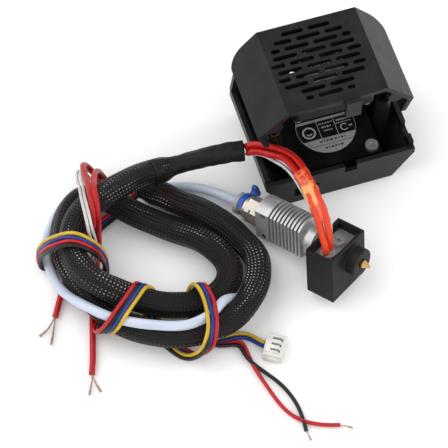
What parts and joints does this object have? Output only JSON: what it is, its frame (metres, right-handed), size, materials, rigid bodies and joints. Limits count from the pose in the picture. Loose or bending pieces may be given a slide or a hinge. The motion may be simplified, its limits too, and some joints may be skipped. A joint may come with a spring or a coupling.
{
  "type": "printer hotend assembly",
  "caption": "Hotend for a filament printer, lying beside its two-fan shroud, with feed tube, heater and sensor wires in a coiled braided harness and a plug.",
  "frame": {"origin": "midpoint between the two carriage screw holes, on the face of the rear housing that bolts to the carriage", "axes": "+Z out of the carriage face towards the grille, +Y along the shroud towards its tube and cable end, +X to the right seen from the grille side with +Y up"},
  "size_m": [0.1697, 0.1632, 0.055],
  "materials": {
    "housing": "moulded black plastic, fine matte texture",
    "fan_plastic": "glass-filled black plastic",
    "rotor_plastic": "dark grey moulded blades",
    "label": null,
    "brass": "turned brass",
    "screw_steel": "bright steel",
    "nickel": "nickel plate",
    "dark_steel": "black oxide",
    "alloy": "turned and milled aluminium",
    "blue_clip": "bright blue moulded plastic",
    "silicone": "black silicone",
    "bead": "glass bead in sleeve",
    "shrink": "black heat-shrink tube",
    "braid": "woven black sleeve with light flecks",
    "ptfe": "translucent white tube",
    "red_silicone": "red insulation",
    "white_insulation": "white insulation",
    "tape": "amber heat-proof film",
    "yellow_insulation": "yellow insulation",
    "blue_insulation": "blue insulation",
    "black_insulation": "black insulation",
    "connector": "white moulded plug",
    "contact": "tinned contacts",
    "copper": "tinned copper strands"
  },
  "bodies": {
    "shroud_and_hotend": {"front_cover": "housing", "rear_housing": "housing", "threaded_inserts": "brass", "heatsink_fan_frame": "fan_plastic", "heatsink_fan_screws": "screw_steel", "blower_case": "fan_plastic", "blower_lid": "fan_plastic", "blower_label": "label", "blower_screws": "screw_steel", "tube_fitting": "nickel", "heatsink": "alloy", "heatsink_grub_screw": "dark_steel", "heat_break": "screw_steel", "heater_block": "alloy", "heater_cartridge": "screw_steel", "cartridge_collar": "alloy", "thermistor": "bead", "thermistor_screw": "screw_steel", "heater_grub_screw": "dark_steel", "silicone_sock": "silicone", "nozzle": "brass", "entry_heatshrink": "shrink", "braided_sleeve": "braid", "ptfe_tube": "ptfe", "heater_wire_a": "red_silicone", "heater_wire_b": "red_silicone", "sensor_wire_a": "white_insulation", "sensor_wire_b": "white_insulation", "wire_tape": "tape", "yellow_wire": "yellow_insulation", "blue_wire": "blue_insulation", "red_wire": "red_silicone", "black_wire": "black_insulation", "connector_housing": "connector", "connector_contacts": "contact", "sensor_tail_a": "white_insulation", "sensor_tail_b": "white_insulation", "supply_lead_a": "red_silicone", "supply_lead_b": "red_silicone", "stripped_ends": "copper"},
    "heatsink_fan_wheel": {"heatsink_fan_rotor": "rotor_plastic", "heatsink_fan_label": "label"},
    "blower_wheel": {"blower_impeller": "rotor_plastic"},
    "collet": {"fitting_collet": "nickel"},
    "clip": {"collet_clip": "blue_clip"}
  },
  "joints": [
    {"name": "heatsink_fan_spin", "type": "hinge", "parent": "shroud_and_hotend", "child": "heatsink_fan_wheel", "pos_m": [0, -0.024, 0.046], "axis": [0, 0, 1], "continuous": true},
    {"name": "blower_spin", "type": "hinge", "parent": "shroud_and_hotend", "child": "blower_wheel", "pos_m": [0, -0.0278, 0.007], "axis": [0, 0, 1], "continuous": true},
    {"name": "collet_press", "type": "slide", "parent": "shroud_and_hotend", "child": "collet", "axis": [0.5825, -0.7872, 0.2028], "range_m": [0, 0.0003], "stiffness_N_per_m": 400},
    {"name": "clip_slide", "type": "slide", "parent": "shroud_and_hotend", "child": "clip", "axis": [0.774, 0.6133, 0.1574], "range_m": [0, 0.003]}
  ]
}
